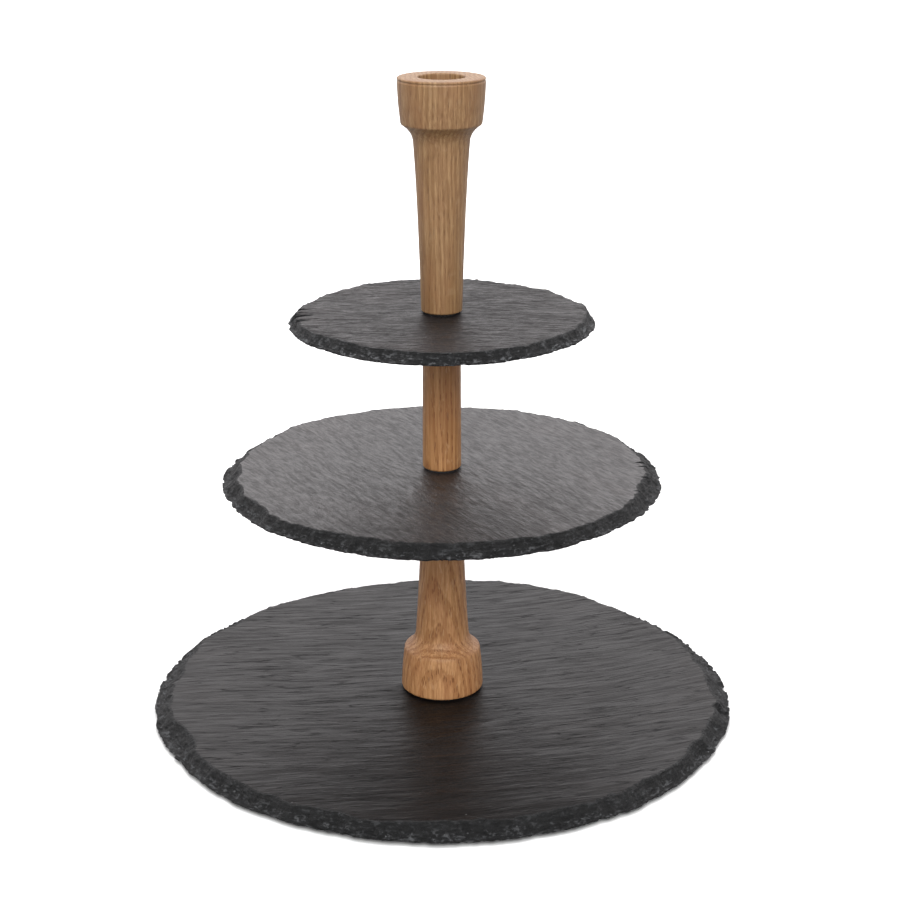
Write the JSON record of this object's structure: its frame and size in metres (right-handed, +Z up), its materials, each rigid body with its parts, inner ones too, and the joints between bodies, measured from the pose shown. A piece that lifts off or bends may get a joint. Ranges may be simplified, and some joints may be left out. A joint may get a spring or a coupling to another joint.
{
  "type": "tiered cake stand",
  "caption": "Tiered cake stand of round slate plates on turned wooden posts that screw together, with a candle socket in the handle.",
  "frame": {"origin": "on the table surface under the posts' common axis, at the centre of the base plate", "axes": "+Z up the posts' axis, towards the handle; +X and +Y across the round plates, which have no front"},
  "size_m": [0.3, 0.3, 0.323],
  "materials": {
    "slate": "riven satin face, rough knapped edge",
    "oak": "turned, oiled",
    "steel": "zinc plated",
    "brass": "plain",
    "rubber": "matt"
  },
  "bodies": {
    "base": {"base_slate": "slate", "foot_1": "rubber", "foot_2": "rubber", "foot_3": "rubber", "foot_4": "rubber", "base_screw": "steel", "base_cup_washer": "steel"},
    "lower_post_carrier": {"lower_post_washer": "rubber"},
    "lower_post": {"lower_post": "oak", "lower_insert": "brass", "lower_stud": "steel", "middle_under_washer": "rubber"},
    "middle_plate": {"middle_slate": "slate"},
    "middle_post_carrier": {"middle_over_washer": "rubber"},
    "middle_post": {"middle_post": "oak", "middle_insert": "brass", "upper_stud": "steel", "top_under_washer": "rubber"},
    "top_plate": {"top_slate": "slate"},
    "handle_carrier": {"top_over_washer": "rubber"},
    "handle": {"handle": "oak", "handle_insert": "brass"}
  },
  "joints": [
    {"name": "lower_post_rise", "type": "slide", "parent": "base", "child": "lower_post_carrier", "axis": [0, 0, 1], "range_m": [0, 0.013]},
    {"name": "lower_post_turn", "type": "hinge", "parent": "lower_post_carrier", "child": "lower_post", "pos_m": [0, 0, 0.0083], "axis": [0, 0, 1], "range_deg": [0, 4680]},
    {"name": "middle_plate_swivel", "type": "hinge", "parent": "lower_post", "child": "middle_plate", "pos_m": [0, 0, 0.1223], "axis": [0, 0, 1], "continuous": true},
    {"name": "middle_post_rise", "type": "slide", "parent": "lower_post", "child": "middle_post_carrier", "axis": [0, 0, 1], "range_m": [0, 0.012]},
    {"name": "middle_post_turn", "type": "hinge", "parent": "middle_post_carrier", "child": "middle_post", "pos_m": [0, 0, 0.1291], "axis": [0, 0, 1], "range_deg": [0, 4320]},
    {"name": "top_plate_swivel", "type": "hinge", "parent": "middle_post", "child": "top_plate", "pos_m": [0, 0, 0.203], "axis": [0, 0, 1], "continuous": true},
    {"name": "handle_rise", "type": "slide", "parent": "middle_post", "child": "handle_carrier", "axis": [0, 0, 1], "range_m": [0, 0.012]},
    {"name": "handle_turn", "type": "hinge", "parent": "handle_carrier", "child": "handle", "pos_m": [0, 0, 0.2098], "axis": [0, 0, 1], "range_deg": [0, 4320]}
  ],
  "couplings": [
    {"joint": "lower_post_turn", "follows": "lower_post_rise", "rad_per_m": 6283.2},
    {"joint": "middle_post_turn", "follows": "middle_post_rise", "rad_per_m": 6283.2},
    {"joint": "handle_turn", "follows": "handle_rise", "rad_per_m": 6283.2}
  ]
}
